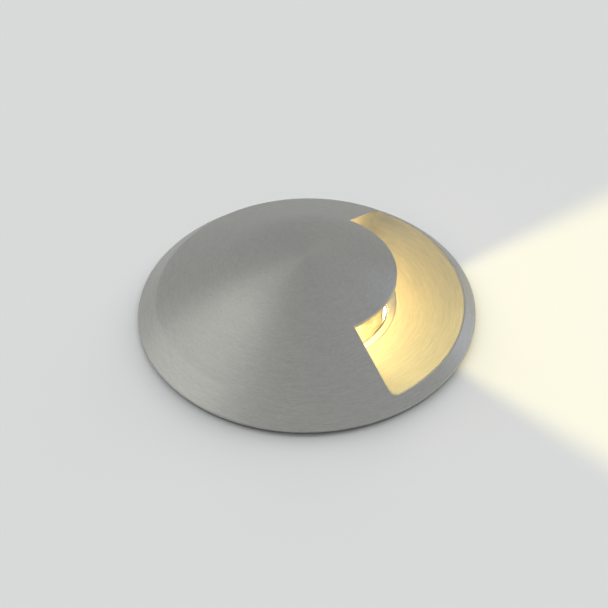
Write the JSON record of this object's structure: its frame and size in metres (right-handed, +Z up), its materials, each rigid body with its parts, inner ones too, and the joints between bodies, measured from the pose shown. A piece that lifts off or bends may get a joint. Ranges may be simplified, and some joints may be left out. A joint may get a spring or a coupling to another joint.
{
  "type": "in-ground marker light",
  "caption": "Round in-ground marker light: a low brushed dome whose side window lights the ground to one side, on a sealed lamp held by spring clips in a buried sleeve.",
  "frame": {"origin": "on the light's axis, level with the underside of the sleeve's flange, which is ground level", "axes": "+Z up out of the ground, +X towards the middle of the window, so the light leaves along +X; millimetre source, metres here"},
  "size_m": [0.11, 0.11, 0.1218],
  "materials": {
    "cover_steel": "fine brushed rings",
    "bezel_aluminium": "satin",
    "housing_aluminium": "as cast, machined faces",
    "reflector_aluminium": "bright faceted",
    "screw_steel": "bright",
    "spring_steel": "rolled",
    "black_rubber": "matte",
    "pale_silicone": "matte",
    "clear_glass": "polished",
    "led_phosphor": "matte",
    "white_board": "solder mask",
    "green_board": "solder mask",
    "pad_grey": "matte",
    "red_insulation": "satin",
    "black_insulation": "satin",
    "blue_sleeve": "gloss",
    "copper_winding": "lacquered",
    "chip_black": "matte",
    "terminal_green": "matte",
    "gland_nylon": "satin",
    "sleeve_plastic": "fine grained",
    "plug_plastic": "satin"
  },
  "bodies": {
    "sleeve": {"mounting_sleeve": "sleeve_plastic", "seat_gasket": "black_rubber", "blanking_plug": "plug_plastic"},
    "lamp": {"lamp_housing": "housing_aluminium", "lens_bezel": "bezel_aluminium", "bezel_screws": "screw_steel", "bezel_seal": "black_rubber", "lens_gasket": "pale_silicone", "glass_lens": "clear_glass", "glass_seat_gasket": "pale_silicone", "reflector": "reflector_aluminium", "led_chip": "led_phosphor", "led_board": "white_board", "led_screws": "screw_steel", "thermal_pad": "pad_grey", "led_lead_red": "red_insulation", "led_lead_black": "black_insulation", "driver_board": "green_board", "driver_capacitor": "blue_sleeve", "driver_inductor": "copper_winding", "driver_chips": "chip_black", "terminal_block": "terminal_green", "terminal_screws": "screw_steel", "driver_screws": "screw_steel", "bottom_cap": "housing_aluminium", "bottom_seal": "black_rubber", "bottom_screws": "screw_steel", "gland_washer": "black_rubber", "gland_body": "gland_nylon", "gland_seal": "black_rubber", "gland_nut": "gland_nylon", "clip_screws": "screw_steel"},
    "clip_1": {"spring_clip_1": "spring_steel"},
    "clip_2": {"spring_clip_2": "spring_steel"},
    "clip_3": {"spring_clip_3": "spring_steel"},
    "grip_ring": {"cover_grip_ring": "black_rubber"},
    "cover": {"top_cover": "cover_steel", "rim_gasket": "black_rubber"}
  },
  "joints": [
    {"name": "lamp_lift", "type": "slide", "parent": "sleeve", "child": "lamp", "axis": [0, 0, 1], "range_m": [0, 0.09]},
    {"name": "cover_pull", "type": "slide", "parent": "lamp", "child": "grip_ring", "axis": [0, 0, 1], "range_m": [0, 0.02]},
    {"name": "cover_turn", "type": "hinge", "parent": "grip_ring", "child": "cover", "pos_m": [0, 0, 0], "axis": [0, 0, 1], "continuous": true},
    {"name": "clip_1_flex", "type": "hinge", "parent": "lamp", "child": "clip_1", "pos_m": [0.03157, 0.01823, -0.02085], "axis": [-0.5, 0.866, 0], "range_deg": [0, 5], "stiffness_Nm_per_rad": 2, "deforming": ["spring_clip_1"]},
    {"name": "clip_2_flex", "type": "hinge", "parent": "lamp", "child": "clip_2", "pos_m": [-0.03157, 0.01823, -0.02085], "axis": [-0.5, -0.866, 0], "range_deg": [0, 5], "stiffness_Nm_per_rad": 2, "deforming": ["spring_clip_2"]},
    {"name": "clip_3_flex", "type": "hinge", "parent": "lamp", "child": "clip_3", "pos_m": [0, -0.03645, -0.02085], "axis": [1, 0, 0], "range_deg": [0, 5], "stiffness_Nm_per_rad": 2, "deforming": ["spring_clip_3"]}
  ]
}
